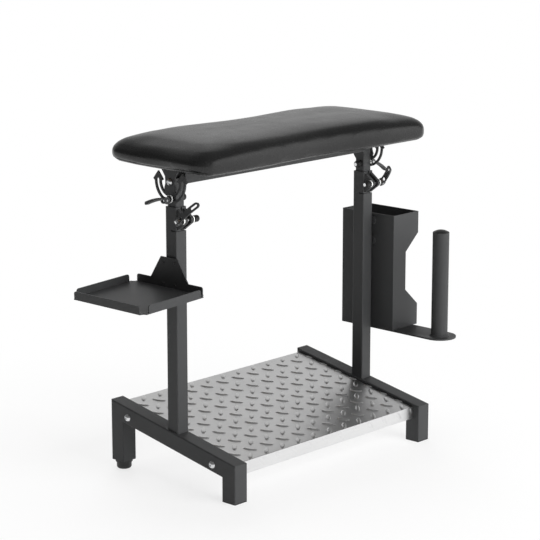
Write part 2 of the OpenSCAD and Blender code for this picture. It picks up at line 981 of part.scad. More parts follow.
module fluke_outline() {
    mid = (arm_in + sector_r) / 2 - 2 * side_fit;
    polygon([
        [mid, fluke_z + fluke_h],
        [mid - fluke_w / 2, fluke_z],
        [arm_in, fluke_z - fluke_w / 8],
        [sector_r, fluke_z - fluke_w / 8],
        [mid + fluke_w / 2, fluke_z]
    ]);
}

module shank_outline() {
    waist_share = 0.94;
    root_share = 1.16;
    half = shank_w / 2;
    polygon([
        [-shank_top_w / 2, pad_rise],
        [-half, half * 0.7],
        [-half * waist_share, -half * 0.3],
        [-half * root_share, -half * 0.95],
        [-arm_in / 2, -arm_in - sector_rail * 0.3],
        [arm_in / 2, -arm_in - sector_rail * 0.3],
        [half * root_share, -half * 0.95],
        [half * waist_share, -half * 0.3],
        [half, half * 0.7],
        [shank_top_w / 2, pad_rise]
    ]);
}

module sector_outline()
    difference() {
        union() {
            intersection() {
                difference() {
                    circle(r = sector_r, $fn = fine);
                    circle(r = arm_in, $fn = fine);
                }
                translate([-far, -far])
                    square([2 * far, far + fluke_z]);
            }
            fluke_outline();
            mirror([1, 0]) fluke_outline();
            shank_outline();
        }
        arc_slot();
        circle(d = head_bolt_d + 2 * run_fit, $fn = medium);
    }

flange_x = sector_out - flange_l / 2 - sector_t / 2;

module sector_plate(side)
    stand() color(black_coat) on_post(side)
        translate([0, 0, pivot_z])
            difference() {
                union() {
                    along_x(sector_in + sector_t / 2, sector_t)
                        sector_outline();
                    translate([sector_out - flange_l, -flange_w / 2, pad_rise - sector_t])
                        cube([flange_l, flange_w, sector_t]);
                }
                translate([flange_x, 0, 0])
                    cylinder(h = pad_rise + over, d = small_d + 2 * hole_fit, $fn = medium);
            }

pivot_in = rail_end - post_x - rail_block - bolt_show;

module pivot_bolt(side)
    stand() color(chrome) on_post(side)
        translate([0, 0, pivot_z]) {
            rod_x(pivot_in, sector_out + pivot_washer_t + side_fit, head_bolt_d);
            translate([sector_out + pivot_washer_t, 0, 0])
                rotate([0, 90, 0])
                    button_head(pivot_head_d, pivot_head_h);
        }

module pivot_washers()
    stand() color(black_plastic)
        for (side = [-1, 1])
            on_post(side)
                translate([0, 0, pivot_z])
                    for (x = [sector_out, rail_end - post_x])
                        ring_x(x, x + pivot_washer_t, pivot_washer_d, head_bolt_d + 2 * run_fit);

// Rail, board, cushion and their screws

rail_h = rail_drop + pad_rise;
rail_z = pivot_z - rail_drop;
rail_screws = [-rail_screw_share * rail_end, 0, rail_screw_share * rail_end];

module pad_rail()
    stand() color(black_coat)
        translate([0, 0, rail_z])
            difference() {
                translate([-rail_end, -rail_w / 2, 0])
                    cube([2 * rail_end, rail_w, rail_h]);
                translate([-rail_end + rail_block, -rail_w / 2 + rail_t, rail_t])
                    cube([2 * (rail_end - rail_block), rail_w - 2 * rail_t, rail_h - 2 * rail_t]);
                translate([0, 0, rail_drop])
                    rod_x(-rail_end - over, rail_end + over, head_bolt_d + 2 * run_fit);
                for (x = rail_screws)
                    translate([x, 0, -over]) {
                        cylinder(h = rail_t + 2 * over, d = access_d, $fn = medium);
                        cylinder(h = rail_h + 2 * over, d = small_d + 2 * hole_fit, $fn = medium);
                    }
            }

// Points along one straight stretch or one corner of the rest's outline
corner_n = 7;
long_n = 10;
short_n = 5;

function corner(cx, cy, r, a0) = [
    for (i = [0:corner_n - 1])
        let (a = a0 + 90 * i / (corner_n - 1))
        [cx + r * cos(a), cy + r * sin(a)]
];

function between(p, q, n) = [
    for (i = [1:n - 1])
        p + (q - p) * i / n
];

// A rounded rectangle of half length a and half width b
function plain_ring(a, b, r) = concat(
    corner(a - r, b - r, r, 0),
    between([a - r, b], [r - a, b], long_n),
    corner(r - a, b - r, r, 90),
    between([-a, b - r], [-a, r - b], short_n),
    corner(r - a, r - b, r, 180),
    between([r - a, -b], [a - r, -b], long_n),
    corner(a - r, r - b, r, 270),
    between([a, r - b], [a, b - r], short_n)
);

// A smooth hill, 1 at 0 and 0 from s outwards
function hill(u, s) = abs(u) < s ? (1 + cos(180 * u / s)) / 2 : 0;

lobe_share = 0.6;
dip_share = 0.56;

function drawn_in(p) =
    let (
        u = 2 * p[0] / pad_l,
        v = 2 * p[1] / pad_w,
        waist = (1 - waist_w / pad_w) * hill(u, lobe_share),
        dip = end_dip / pad_l * 2 * hill(v, dip_share) * pow(abs(u), 4)
    )
    [p[0] * (1 - dip), p[1] * (1 - waist)];

ring_min_r = 8;

function pad_ring(inset) = [
    for (p = plain_ring(pad_l / 2 - inset, pad_w / 2 - inset, max(pad_corner_r - inset, ring_min_r)))
        drawn_in(p)
];

pocket_z = pad_z + board_t + side_fit;

// Height at a point of a ring: the top slopes to its ends and corners, the middle is crowned
function soft_z(p, z, crown) =
    let (
        u = min(1, abs(2 * p[0] / pad_l)),
        v = min(1, abs(2 * p[1] / pad_w)),
        high = max(0, (z - pocket_z) / (pad_z + pad_t - pocket_z)),
        low = max(0, 1 - 2 * (z - pad_z) / pad_t),
        slope = end_drop * pow(u, 8) + corner_drop * pow(u, 6) * pow(v, 3)
    )
    z + crown * (1 - u * u / 2) + end_rise * low * pow(u, 8) - high * slope;

pocket_inset = board_inset - side_fit;
arc_n = 6;
low_n = 3;
crown_rings = 3;
side_z = pad_z + pad_t - top_round_h;

// Each ring of the cushion: inset, height, share of the crown
cushion_rings = concat(
    [[pocket_inset, pocket_z, 0], [pocket_inset, pad_z, 0]],
    [for (i = [0:low_n])
        let (a = 90 * i / low_n)
        [bottom_round * (1 - sin(a)), pad_z + bottom_round * (1 - cos(a)), 0]],
    [for (i = [0:arc_n])
        let (a = 90 * i / arc_n)
        [top_round_w * (1 - cos(a)), side_z + top_round_h * sin(a), 0]],
    [for (i = [1:crown_rings])
        let (
            s = i / (crown_rings + 0.5),
            inset = top_round_w + (waist_w / 2 - top_round_w) * s
        )
        [inset, pad_z + pad_t, 1 - (1 - s) * (1 - s)]]
);

module cushion_form() {
    n = len(pad_ring(0));
    m = len(cushion_rings);
    rings = [
        for (k = cushion_rings, p = pad_ring(k[0]))
            [p[0], p[1], soft_z(p, k[1], pad_crown * k[2])]
    ];
    points = concat(
        rings,
        [[0, 0, pocket_z], [0, 0, pad_z + pad_t + pad_crown]]
    );
    sides = [
        for (j = [0:m - 2], i = [0:n - 1])
            let (
                a = j * n + i,
                b = j * n + (i + 1) % n,
                c = (j + 1) * n + i,
                d = (j + 1) * n + (i + 1) % n
            )
            each [[a, d, b], [a, c, d]]
    ];
    under = [for (i = [0:n - 1]) [m * n, i, (i + 1) % n]];
    over_top = [for (i = [0:n - 1]) [(m - 1) * n + i, m * n + 1, (m - 1) * n + (i + 1) % n]];
    polyhedron(points, concat(sides, under, over_top), convexity = 6);
}

module pad_cushion()
    stand() color(black_leather)
        cushion_form();

// Places of all screws that enter the board
board_screws = concat(
    [for (x = rail_screws) [x, pad_z - rail_t]],
    [for (side = [-1, 1]) [side * (post_x + flange_x), pad_z - sector_t]]
);

module pad_board()
    stand() color(plywood)
        difference() {
            translate([0, 0, pad_z])
                linear_extrude(board_t)
                    polygon(pad_ring(board_inset));
            for (s = board_screws)
                translate([s[0], 0, pad_z - over])
                    cylinder(h = pad_screw_in + over + side_fit, d = small_d + 2 * run_fit, $fn = medium);
        }

module pad_screws()
    stand() color(chrome)
        for (s = board_screws)
            translate([s[0], 0, s[1]]) {
                mirror([0, 0, 1])
                    button_head(small_head_d, small_head_h);
                translate([0, 0, -small_head_h / 4])
                    cylinder(h = pad_z - s[1] + pad_screw_in + small_head_h / 4, d = small_d, $fn = medium);
            }

// Cam levers. The blade runs along +X from its pin, which lies along Y. -Z faces the clamp.

module lever_plan(l) {
    slot_end = l - lever_tip_rim - lever_slot_w / 2;
    slot_start = slot_end - lever_slot_l + lever_slot_w;
    difference() {
        union() {
            translate([0, -lever_w / 2])
                square([l - lever_w / 2, lever_w]);
            translate([l - lever_w / 2, 0])
                circle(d = lever_w, $fn = medium);
        }
        translate([slot_start, -lever_slot_w / 2])
            square([slot_end - slot_start, lever_slot_w]);
        for (x = [slot_start, slot_end])
            translate([x, 0])
                circle(d = lever_slot_w, $fn = medium);
    }
}

module lever(l)
    difference() {
        union() {
            intersection() {
                translate([0, 0, -l / 2])
                    linear_extrude(l)
                        lever_plan(l);
                translate([0.4 * l, lever_w, lever_top - lever_bow_r])
                    rotate([90, 0, 0])
                        linear_extrude(2 * lever_w)
                            difference() {
                                circle(r = lever_bow_r + lever_t / 2, $fn = 4 * fine);
                                circle(r = lever_bow_r - lever_t / 2, $fn = 4 * fine);
                            }
            }
            translate([0, lever_w / 2, -cam_throw])
                rotate([90, 0, 0])
                    cylinder(h = lever_w, r = cam_r, $fn = fine);
        }
        translate([-2 * cam_r, -fork_w / 2, -2 * cam_r])
            cube([2 * cam_r + fork_l - fork_w / 2, fork_w, 4 * cam_r]);
        translate([fork_l - fork_w / 2, 0, -2 * cam_r])
            cylinder(h = 4 * cam_r, d = fork_w, $fn = medium);
        rotate([90, 0, 0])
            cylinder(h = 2 * lever_w, d = pin_d + 2 * run_fit, center = true, $fn = medium);
    }

// The right-hand levers point outwards, so the blade's frame is turned about the vertical
module height_lever(side)
    stand() color(black_coat) on_post(side)
        translate([clamp_pin_x, clamp_y, clamp_z])
            rotate([45, 0, 0])
                rotate([0, 0, 180])
                    rotate([0, height_lever_a - 90, 0])
                        lever(height_lever_l);

module tilt_lever(side, angle)
    stand() color(black_coat) on_post(side)
        translate([lock_pin_x, 0, lock_z])
            rotate([0, 90 - angle, 0])
                lever(tilt_lever_l);

crossbar(-1);  // left_crossbar
crossbar(1);  // right_crossbar
leg(-1, front_y, cap_t);  // left_front_leg
leg(1, front_y, cap_t);  // right_front_leg
leg(-1, rear_y, glide_h);  // left_rear_leg
leg(1, rear_y, glide_h);  // right_rear_leg
front_leg_caps();
rear_leg_glides();
outer_post(-1);  // left_outer_post
outer_post(1);  // right_outer_post
clamp_bolt(-1);  // left_clamp_bolt
clamp_bolt(1);  // right_clamp_bolt
clamp_nut(-1);  // left_clamp_nut
clamp_nut(1);  // right_clamp_nut
clamp_washers();
clamp_saddles();
checker_plate();
plate_bolts();
plate_nuts();
mount_strips(-1);  // left_mount_strips
mount_strips(1);  // right_mount_strips
tray();
tray_screws();
glove_box_holder();
holder_screws();
roll_plate();
roll_tube();
roll_cap();
inner_post(-1);  // left_inner_post
inner_post(1);  // right_inner_post
lock_bolt(-1);  // left_lock_bolt
lock_bolt(1);  // right_lock_bolt
lock_nut(-1);  // left_lock_nut
lock_nut(1);  // right_lock_nut
lock_washers();
lock_saddles();
sector_plate(-1);  // left_sector_plate
sector_plate(1);  // right_sector_plate
pivot_bolt(-1);  // left_pivot_bolt
pivot_bolt(1);  // right_pivot_bolt
pivot_washers();
pad_rail();
pad_board();
pad_cushion();
pad_screws();
height_lever(-1);  // left_height_lever
height_lever(1);  // right_height_lever
tilt_lever(-1, left_tilt_a);  // left_tilt_lever
tilt_lever(1, right_tilt_a);  // right_tilt_lever
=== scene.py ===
import bpy
import bmesh
import json
import math
from mathutils import Matrix, Vector


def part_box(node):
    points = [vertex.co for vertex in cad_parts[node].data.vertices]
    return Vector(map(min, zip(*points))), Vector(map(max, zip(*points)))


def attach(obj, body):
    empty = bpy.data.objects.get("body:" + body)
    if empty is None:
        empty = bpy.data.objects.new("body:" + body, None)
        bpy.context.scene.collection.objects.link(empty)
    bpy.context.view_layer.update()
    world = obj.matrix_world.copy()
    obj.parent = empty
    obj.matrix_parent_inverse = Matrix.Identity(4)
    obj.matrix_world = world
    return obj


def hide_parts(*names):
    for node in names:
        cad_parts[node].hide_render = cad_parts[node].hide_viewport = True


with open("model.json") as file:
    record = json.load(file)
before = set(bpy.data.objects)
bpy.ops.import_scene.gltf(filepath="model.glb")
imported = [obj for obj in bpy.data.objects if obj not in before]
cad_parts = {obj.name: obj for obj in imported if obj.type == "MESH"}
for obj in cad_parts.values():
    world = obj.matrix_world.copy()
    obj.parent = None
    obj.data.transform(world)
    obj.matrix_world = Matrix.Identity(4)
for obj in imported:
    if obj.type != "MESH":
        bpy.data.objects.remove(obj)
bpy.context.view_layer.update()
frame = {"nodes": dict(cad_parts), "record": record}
nodes = frame["nodes"]
mm = 0.001  # the scene is in metres
print("frame loaded:", len(nodes), "nodes")


def middle(name):
    low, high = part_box(name)
    return (low + high) / 2


# The stand's own middle: half way between the posts
standMiddle = (middle("left_outer_post") + middle("right_outer_post")) / 2
standMiddle.y = middle("left_crossbar").y
standMiddle.z = 0


# The camera of the photograph
camera = {
    "azimuth": -46.91,  # degrees, 0 looks along +Y
    "elevation": 12.55,
    "distance": 3.5724,
    "target": Vector((-0.01001, 0, 0.33583)),  # seen from the stand's middle
    "lens": 136.4,  # on a sensor 36 mm wide
}

azimuth = math.radians(camera["azimuth"])
elevation = math.radians(camera["elevation"])
towardsCamera = Vector((
    math.sin(azimuth) * math.cos(elevation),
    -math.cos(azimuth) * math.cos(elevation),
    math.sin(elevation),
))
cameraData = bpy.data.cameras.new("camera")
cameraData.lens = camera["lens"]
cameraObject = bpy.data.objects.new("camera", cameraData)
bpy.context.scene.collection.objects.link(cameraObject)
cameraObject.location = standMiddle + camera["target"] + towardsCamera * camera["distance"]
cameraObject.rotation_mode = "QUATERNION"
cameraObject.rotation_quaternion = (-towardsCamera).to_track_quat("-Z", "Y")
bpy.context.scene.camera = cameraObject
print("camera placed")


# A wire is a socket that adds Math nodes when it is calculated with
class Wire:
    def __init__(self, recipe, socket):
        self.recipe = recipe
        self.socket = socket

    def combine(self, operation, first, second=None):
        values = {0: first} if second is None else {0: first, 1: second}
        return self.recipe.add("ShaderNodeMath", {"operation": operation}, values)

    def __add__(self, other):
        return self.combine("ADD", self, other)

    def __radd__(self, other):
        return self.combine("ADD", other, self)

    def __sub__(self, other):
        return self.combine("SUBTRACT", self, other)

    def __rsub__(self, other):
        return self.combine("SUBTRACT", other, self)

    def __mul__(self, other):
        return self.combine("MULTIPLY", self, other)

    def __rmul__(self, other):
        return self.combine("MULTIPLY", other, self)

    def atMost(self, other):
        return self.combine("MINIMUM", self, other)

    def atLeast(self, other):
        return self.combine("MAXIMUM", self, other)


class Recipe:
    def __init__(self, holder, output="ShaderNodeOutputMaterial"):
        self.holder = holder
        holder.use_nodes = True
        self.tree = holder.node_tree
        self.tree.nodes.clear()
        self.output = self.tree.nodes.new(output)

    def add(self, kind, settings=None, sockets=None, out=0):
        node = self.tree.nodes.new(kind)
        for key, value in (settings or {}).items():
            setattr(node, key, value)
        for key, value in (sockets or {}).items():
            self.plug(node.inputs[key], value)
        return Wire(self, node.outputs[out])

    def plug(self, socket, value):
        if isinstance(value, Wire):
            self.tree.links.new(value.socket, socket)
        else:
            socket.default_value = value

    def place(self):
        return self.add("ShaderNodeTexCoord", out="Object")

    def noise(self, scale, detail=2, roughness=0.5, vector=None):
        where = vector or self.place()
        return self.add("ShaderNodeTexNoise", None, {
            "Vector": where, "Scale": scale, "Detail": detail, "Roughness": roughness,
        })

    def stretched(self, scale):
        return self.add("ShaderNodeMapping", None, {"Vector": self.place(), "Scale": scale})

    def blendColours(self, factor, first, second):
        sockets = {0: factor, 6: first, 7: second}
        return self.add("ShaderNodeMix", {"data_type": "RGBA"}, sockets, out=2)

    def bump(self, height, strength, distance):
        return self.add("ShaderNodeBump", None, {
            "Height": height, "Strength": strength, "Distance": distance,
        })

    def surface(self, sockets):
        shader = self.add("ShaderNodeBsdfPrincipled", None, sockets)
        self.plug(self.output.inputs["Surface"], shader)
        return self.holder


def recipeFor(name):
    return Recipe(bpy.data.materials.new(name))


def grey(value, warmth=0.0):
    return (value * (1 + warmth), value, value * (1 - warmth), 1)


# Finishes. Each dictionary gives two shades, the roughness, how far it varies, and the
# scales of the patterns, which are finer where the number is larger.
coat = {
    "dark": 0.038,
    "light": 0.046,
    "warmth": -0.02,
    "roughness": 0.5,
    "uneven": 0.12,
    "specular": 0.3,
    "patches": 9,
    "grain": 1500,
    "grainStrength": 0.25,
    "grainHeight": 0.05 * mm,
}


def makeCoat():
    r = recipeFor("black coat")
    patches = r.noise(coat["patches"], 3)
    dark = grey(coat["dark"], coat["warmth"])
    light = grey(coat["light"], coat["warmth"])
    return r.surface({
        "Base Color": r.blendColours(patches, dark, light),
        "Roughness": coat["roughness"] + (patches - 0.5) * coat["uneven"],
        "Specular IOR Level": coat["specular"],
        "Normal": r.bump(r.noise(coat["grain"], 1), coat["grainStrength"], coat["grainHeight"]),
    })


plastic = {
    "dark": 0.008,
    "light": 0.014,
    "roughness": 0.44,
    "uneven": 0.2,
    "patches": 60,
    "scuffs": 180,
    "grain": 2600,
    "grainStrength": 0.2,
    "grainHeight": 0.04 * mm,
}


def makePlastic():
    r = recipeFor("black plastic")
    patches = r.noise(plastic["patches"], 2)
    scuffs = r.noise(plastic["scuffs"], 2)
    return r.surface({
        "Base Color": r.blendColours(patches, grey(plastic["dark"]), grey(plastic["light"])),
        "Roughness": plastic["roughness"] + (scuffs - 0.5) * plastic["uneven"],
        "Normal": r.bump(
            r.noise(plastic["grain"], 2), plastic["grainStrength"], plastic["grainHeight"]),
    })


screws = {
    "dark": 0.03,
    "light": 0.06,
    "roughness": 0.3,
    "uneven": 0.15,
    "metallic": 0.6,
    "patches": 300,
    "scuffs": 500,
}


def makeScrewBlack():
    r = recipeFor("black screws")
    patches = r.noise(screws["patches"], 2)
    return r.surface({
        "Base Color": r.blendColours(patches, grey(screws["dark"]), grey(screws["light"])),
        "Roughness": screws["roughness"] + r.noise(screws["scuffs"], 2) * screws["uneven"],
        "Metallic": screws["metallic"],
    })


nylon = {
    "dark": (0.74, 0.75, 0.73, 1),
    "light": (0.86, 0.87, 0.86, 1),
    "roughness": 0.4,
    "uneven": 0.15,
    "patches": 150,
    "scuffs": 400,
    "grain": 1200,
    "grainStrength": 0.15,
    "grainHeight": 0.05 * mm,
}


def makeNylon():
    r = recipeFor("white nylon")
    return r.surface({
        "Base Color": r.blendColours(r.noise(nylon["patches"], 2), nylon["dark"], nylon["light"]),
        "Roughness": nylon["roughness"] + r.noise(nylon["scuffs"], 2) * nylon["uneven"],
        "Normal": r.bump(r.noise(nylon["grain"], 2), nylon["grainStrength"], nylon["grainHeight"]),
    })


steel = {
    "dark": 0.62,
    "light": 0.8,
    "warmth": -0.01,
    "roughness": 0.14,
    "uneven": 0.14,
    "marks": 900,
    "along": (1, 0.08, 0.08),  # the marks are drawn out this way
    "markStrength": 0.08,
    "markHeight": 0.03 * mm,
}


def makeBrightSteel():
    r = recipeFor("bright steel")
    marks = r.noise(steel["marks"], 3, vector=r.stretched(steel["along"]))
    dark = grey(steel["dark"], steel["warmth"])
    light = grey(steel["light"], steel["warmth"])
    return r.surface({
        "Base Color": r.blendColours(marks, dark, light),
        "Roughness": steel["roughness"] + marks * steel["uneven"],
        "Metallic": 1.0,
        "Normal": r.bump(marks, steel["markStrength"], steel["markHeight"]),
    })


tread = {
    "dark": 0.78,
    "light": 0.95,
    "roughness": 0.39,
    "uneven": 0.14,
    "scuffed": 0.06,
    "rolling": 260,
    "along": (0.06, 1, 1),  # rolling lines run the length of the plate
    "patches": 14,
    "scuffs": 90,
    "lineStrength": 0.05,
    "lineHeight": 0.1 * mm,
}


def makeTreadPlate():
    r = recipeFor("tread plate")
    rolled = r.noise(tread["rolling"], 4, 0.6, r.stretched(tread["along"]))
    patches = r.noise(tread["patches"], 4, 0.6)
    scuffs = r.noise(tread["scuffs"], 5, 0.7)
    shade = rolled * 0.5 + patches * 0.5
    rough = tread["roughness"] + (patches - 0.5) * tread["uneven"]
    return r.surface({
        "Base Color": r.blendColours(shade, grey(tread["dark"]), grey(tread["light"])),
        "Roughness": rough + (scuffs - 0.5) * tread["scuffed"],
        "Metallic": 1.0,
        "Normal": r.bump(
            rolled * 0.7 + scuffs * 0.3, tread["lineStrength"], tread["lineHeight"]),
    })


leather = {
    "dark": 0.005,
    "light": 0.009,
    "roughness": 0.26,
    "uneven": 0.1,
    "creaseRoughness": 0.08,
    "specular": 0.43,
    "cells": 620,
    "creaseWidth": 1 / 6,  # of a cell
    "patches": 34,
    "creaseStrength": 0.16,
    "creaseDepth": 0.08 * mm,
}


def makeLeather():
    r = recipeFor("black leather")
    cells = r.add("ShaderNodeTexVoronoi", {"feature": "DISTANCE_TO_EDGE"}, {
        "Vector": r.place(), "Scale": leather["cells"],
    })
    creases = (cells * (1 / leather["creaseWidth"])).atMost(1.0)
    rough = leather["roughness"] + (r.noise(leather["patches"], 3) - 0.5) * leather["uneven"]
    return r.surface({
        "Base Color": r.blendColours(creases, grey(leather["dark"]), grey(leather["light"])),
        "Roughness": rough + (1 - creases) * leather["creaseRoughness"],
        "Specular IOR Level": leather["specular"],
        "Normal": r.bump(creases, leather["creaseStrength"], leather["creaseDepth"]),
    })


plywood = {
    "dark": (0.09, 0.062, 0.04, 1),
    "light": (0.17, 0.12, 0.08, 1),
    "roughness": 0.6,
    "uneven": 0.15,
    "rings": 40,
    "along": (0.25, 3, 3),  # the grain runs the length of the board
    "ringStrength": 0.3,
    "ringHeight": 0.3 * mm,
}


def makePlywood():
    r = recipeFor("plywood")
    rings = r.noise(plywood["rings"], 5, 0.6, r.stretched(plywood["along"]))
    return r.surface({
        "Base Color": r.blendColours(rings, plywood["dark"], plywood["light"]),
        "Roughness": plywood["roughness"] + rings * plywood["uneven"],
        "Normal": r.bump(rings, plywood["ringStrength"], plywood["ringHeight"]),
    })


finishes = {
    "black_coat": makeCoat(),
    "black_plastic": makePlastic(),
    "black_screws": makeScrewBlack(),
    "white_nylon": makeNylon(),
    "tread_plate": makeTreadPlate(),
    "bright_steel": makeBrightSteel(),
    "black_leather": makeLeather(),
    "plywood": makePlywood(),
}
slotOf = {part["node"]: part["material_slot"] for part in frame["record"]["subparts"]}
for name, node in nodes.items():
    node.data.materials.clear()
    node.data.materials.append(finishes[slotOf[name]])
print("materials made:", len(finishes))


sharpAngle = math.radians(32)  # edges that turn more than this stay sharp in the shading
weldGap = 0.002 * mm  # points closer than this are one point


def addPiece(name, mesh, body, slot):
    piece = bpy.data.objects.new(name, mesh)
    bpy.context.scene.collection.objects.link(piece)
    mesh.materials.clear()
    mesh.materials.append(finishes[slot])
    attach(piece, body)
    return piece


def meshFrom(bm, name):
    mesh = bpy.data.meshes.new(name)
    bm.to_mesh(mesh)
    bm.free()
    return mesh


def smoothShaded(mesh):
    for face in mesh.polygons:
        face.use_smooth = True


def shadeByAngle(mesh):
    mesh.shade_smooth()
    mesh.set_sharp_from_angle(angle=sharpAngle)


def weldedCopy(name):
    bm = bmesh.new()
    bm.from_mesh(nodes[name].data)
    bmesh.ops.remove_doubles(bm, verts=bm.verts, dist=weldGap)
    return bm


for node in nodes.values():
    shadeByAngle(node.data)
print("edges shaded")


# The cushion starts a little smaller than its solid, and pressure swells it
cushion = {
    "quads": math.radians(50),  # triangles flatter than this are joined
    "crease": math.radians(55),  # edges that turn more than this stay crisp
    "shrink": 1.6 * mm,
    "voxel": 5 * mm,
    "pressure": 4.0,
    "stretch": 20,  # how the leather resists being drawn and pressed together
    "bend": 1.5,
    "frames": 20,
    "pinHeight": 4 * mm,  # what lies on the board stays put
    "board": 12 * mm,
    "cap": 2.6 * mm,  # the most that the swelling may move a point
    "evening": 30,  # rounds that spread the swelling
    "smoothing": 4,
    "taperStart": 0.82,  # share of the half length where the left end starts to thin
    "taperTop": 1.2,  # times the half height, where the thinning ends
    "leftTaper": 9 * mm,  # how far the underside rises at the left end
    "liftStart": 0.15,  # share of the half width where the rear starts to rise
    "rearLift": 4.5 * mm,  # how far the rear edge rises, most of all at the left end
    "liftShare": (0.62, -0.38),  # share in the middle, and what the right end adds
}


def applied(mesh, kind, settings):
    work = bpy.data.objects.new("work", mesh)
    bpy.context.scene.collection.objects.link(work)
    modifier = work.modifiers.new("work", kind)
    for key, value in settings.items():
        setattr(modifier, key, value)
    graph = bpy.context.evaluated_depsgraph_get()
    result = bpy.data.meshes.new_from_object(work.evaluated_get(graph))
    bpy.data.objects.remove(work)
    return result


def inflated(mesh, pinned):
    pad = bpy.data.objects.new("inflate", mesh)
    bpy.context.scene.collection.objects.link(pad)
    pins = pad.vertex_groups.new(name="pins")
    pins.add(pinned, 1.0, "REPLACE")
    cloth = pad.modifiers.new("cloth", "CLOTH")
    cloth.settings.vertex_group_mass = "pins"
    cloth.settings.use_pressure = True
    cloth.settings.uniform_pressure_force = cushion["pressure"]
    cloth.settings.effector_weights.gravity = 0
    cloth.settings.tension_stiffness = cushion["stretch"]
    cloth.settings.compression_stiffness = cushion["stretch"]
    cloth.settings.bending_stiffness = cushion["bend"]
    cloth.point_cache.frame_end = cushion["frames"]
    for step in range(1, cushion["frames"] + 1):
        bpy.context.scene.frame_set(step)
    graph = bpy.context.evaluated_depsgraph_get()
    result = bpy.data.meshes.new_from_object(pad.evaluated_get(graph))
    bpy.data.objects.remove(pad)
    bpy.context.scene.frame_set(1)
    return result


cushionLow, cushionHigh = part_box("pad_cushion")
cushionMiddle = (cushionLow + cushionHigh) / 2
cushionHalf = (cushionHigh - cushionLow) / 2


def evened(mesh, swelling):
    bm = bmesh.new()
    bm.from_mesh(mesh)
    bm.verts.ensure_lookup_table()
    around = [[edge.other_vert(vert).index for edge in vert.link_edges] for vert in bm.verts]
    for _ in range(cushion["evening"]):
        swelling = [
            (own + sum(swelling[i] for i in near) / len(near)) / 2
            for own, near in zip(swelling, around)
        ]
    for vert, step in zip(bm.verts, swelling):
        vert.co += vert.normal * step
    bm.to_mesh(mesh)
    bm.free()


def rearLift(co):
    across = (co.x - cushionMiddle.x) / cushionHalf.x
    back = (co.y - cushionMiddle.y) / cushionHalf.y - cushion["liftStart"]
    back = max(0.0, back) / (1 - cushion["liftStart"])
    middleShare, rightShare = cushion["liftShare"]
    return cushion["rearLift"] * back * back * (middleShare + rightShare * across)


def leftTaper(co):
    outward = (cushionMiddle.x - co.x) / cushionHalf.x - cushion["taperStart"]
    outward = max(0.0, outward) / (1 - cushion["taperStart"])
    upward = (co.z - cushionLow.z) / (cushion["taperTop"] * cushionHalf.z)
    return cushion["leftTaper"] * outward * outward * max(0.0, 1 - upward)


# Cushion, board and hem take the same bend
def bend(bm):
    for vert in bm.verts:
        vert.co.z += rearLift(vert.co) + leftTaper(vert.co)


def softened(name):
    bm = weldedCopy(name)
    bmesh.ops.join_triangles(
        bm, faces=bm.faces,
        angle_face_threshold=cushion["quads"], angle_shape_threshold=cushion["quads"])
    crease = bm.edges.layers.float.new("crease_edge")
    for edge in bm.edges:
        if edge.is_manifold and edge.calc_face_angle() > cushion["crease"]:
            edge[crease] = 1.0
    return applied(meshFrom(bm, "quads"), "SUBSURF", {"levels": 2, "render_levels": 2})


def swelled(start):
    pinTop = cushionLow.z + cushion["pinHeight"]
    pocketTop = pinTop + cushion["board"]
    pinned = [
        vert.index for vert in start.vertices
        if vert.co.z < pinTop or (vert.co.z < pocketTop and vert.normal.z < -0.5)
    ]
    result = inflated(start, pinned)
    steps = [(after.co - before.co).dot(before.normal)
             for after, before in zip(result.vertices, start.vertices)]
    evened(start, [max(-cushion["cap"], min(cushion["cap"], step)) for step in steps])


def makeCushion():
    pinTop = cushionLow.z + cushion["pinHeight"]
    bm = bmesh.new()
    bm.from_mesh(softened("pad_cushion"))
    bm.normal_update()
    for vert in bm.verts:
        if vert.co.z > pinTop:
            vert.co -= vert.normal * cushion["shrink"]
    smaller = meshFrom(bm, "smaller")
    start = applied(smaller, "REMESH", {"mode": "VOXEL", "voxel_size": cushion["voxel"]})
    swelled(start)
    bm = bmesh.new()
    bm.from_mesh(start)
    free = [v for v in bm.verts if v.co.z > pinTop]
    for _ in range(cushion["smoothing"]):
        bmesh.ops.smooth_vert(
            bm, verts=free, factor=0.5, use_axis_x=True, use_axis_y=True, use_axis_z=True)
    bend(bm)
    mesh = meshFrom(bm, "cushion")
    smoothShaded(mesh)
    piece = addPiece("cushion", mesh, "rest", "black_leather")
    finer = piece.modifiers.new("finer", "SUBSURF")
    finer.levels = 1
    finer.render_levels = 1
    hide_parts("pad_cushion")


makeCushion()
print("cushion made")


# The board bends with the cushion that is drawn over it
board = {"bends": (0.4, 0.5, 0.6, 0.7, 0.8, 0.85, 0.9)}  # shares of the cushion, left and rear


def makeBoard():
    bm = weldedCopy("pad_board")
    for share in board["bends"]:
        for way in (Vector((-1, 0, 0)), Vector((0, 1, 0))):
            reach = Vector((way.x * cushionHalf.x, way.y * cushionHalf.y, 0))
            bmesh.ops.bisect_plane(
                bm, geom=bm.verts[:] + bm.edges[:] + bm.faces[:], dist=0.01 * mm,
                plane_co=cushionMiddle + reach * share, plane_no=way)
    bend(bm)
    piece = addPiece("board", meshFrom(bm, "board"), "rest", "plywood")
    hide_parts("pad_board")


makeBoard()


# Leather folded round the cushion's lower edge and under the board
hem = {
    "width": 14 * mm,
    "reach": 6 * mm,
    "rise": 3.4 * mm,
    "thickness": 0.9 * mm,
    "below": 0.1 * mm,
    "clearSide": 30 * mm,  # the board's rim is further out than this, from its middle line
    "clearEnd": 12 * mm,  # or nearer to an end than this, which leaves out its screw holes
}


